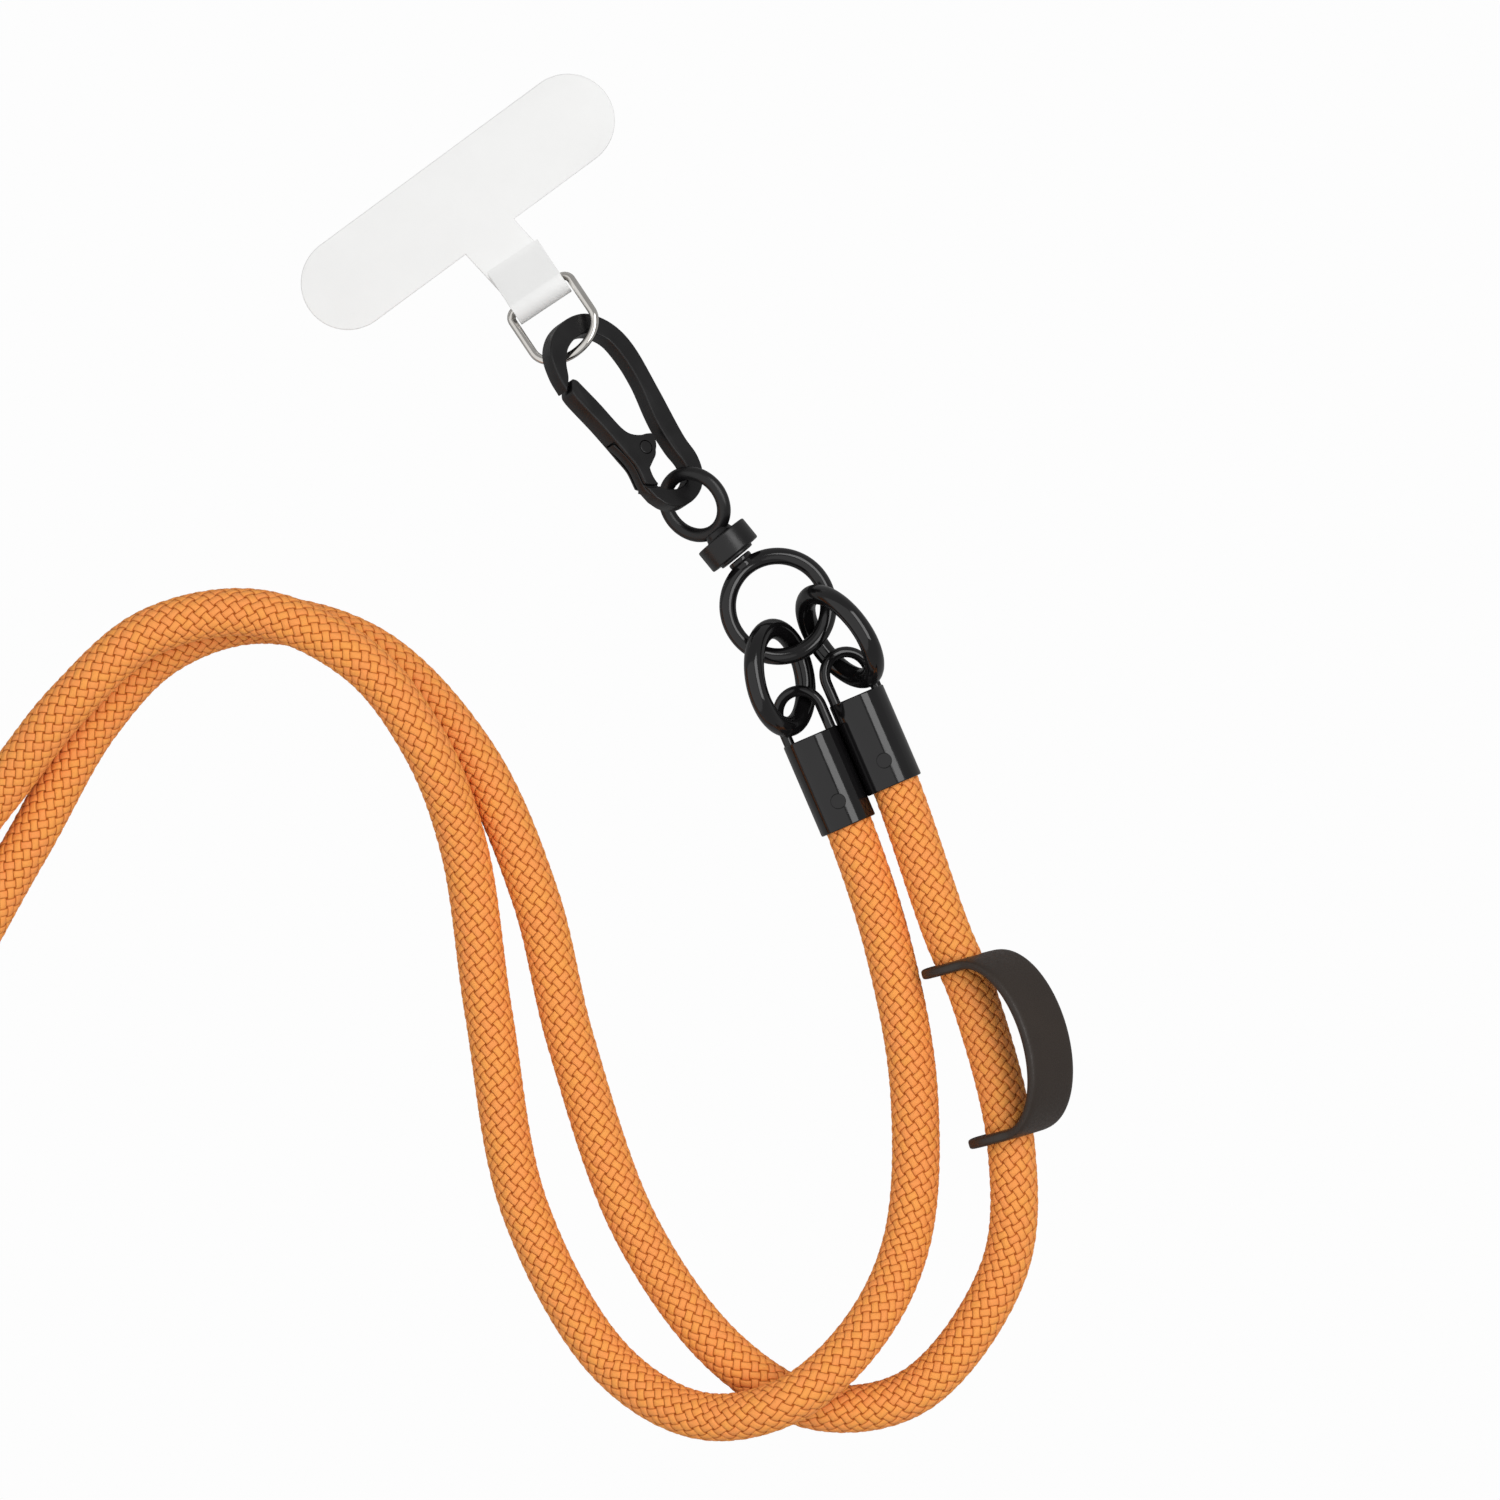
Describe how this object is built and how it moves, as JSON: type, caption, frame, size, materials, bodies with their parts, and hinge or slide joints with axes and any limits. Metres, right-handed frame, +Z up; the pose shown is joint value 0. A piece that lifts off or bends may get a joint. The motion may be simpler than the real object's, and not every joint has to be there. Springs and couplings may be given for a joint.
{
  "type": "phone crossbody strap",
  "caption": "Phone crossbody strap lying flat: round braided cord with end caps, split links, swivel, snap hook, D-ring with a tether tab, and a finger keeper on the cord.",
  "frame": {"origin": "centre of the bottom of the box around everything but the cord, on the floor that the strap lies on", "axes": "+Z up from the floor; +Y up the picture, from the cord's lower loop towards the tether tab; +X to the picture's right"},
  "size_m": [0.3855, 0.2354, 0.0217],
  "materials": {
    "braid": "woven polyester",
    "gloss_plating": "glossy black plating on zinc alloy",
    "satin_coating": "satin black coating on zinc alloy",
    "polished_steel": "polished",
    "tab_plastic": "smooth flexible plastic film",
    "keeper_rubber": "matte, flexible"
  },
  "bodies": {
    "strap": {"cord": "braid", "cap_left": "gloss_plating", "cap_right": "gloss_plating", "link_left": "gloss_plating", "link_right": "gloss_plating", "keeper": "keeper_rubber", "swivel_ring": "gloss_plating"},
    "hook": {"swivel_eye": "satin_coating", "hook_body": "satin_coating", "gate_pin": "satin_coating", "d_ring": "polished_steel", "tether_tab": "tab_plastic"},
    "gate": {"hook_gate": "satin_coating"}
  },
  "joints": [
    {"name": "swivel_spin", "type": "hinge", "parent": "strap", "child": "hook", "pos_m": [0.01509, 0.00095, 0.00638], "axis": [0.6332, -0.7736, 0.0227], "continuous": true},
    {"name": "gate_open", "type": "hinge", "parent": "hook", "child": "gate", "pos_m": [-0.0086, 0.02771, 0.00767], "axis": [-0.521, -0.3345, -0.7853], "range_deg": [0, 22], "stiffness_Nm_per_rad": 0.1}
  ]
}
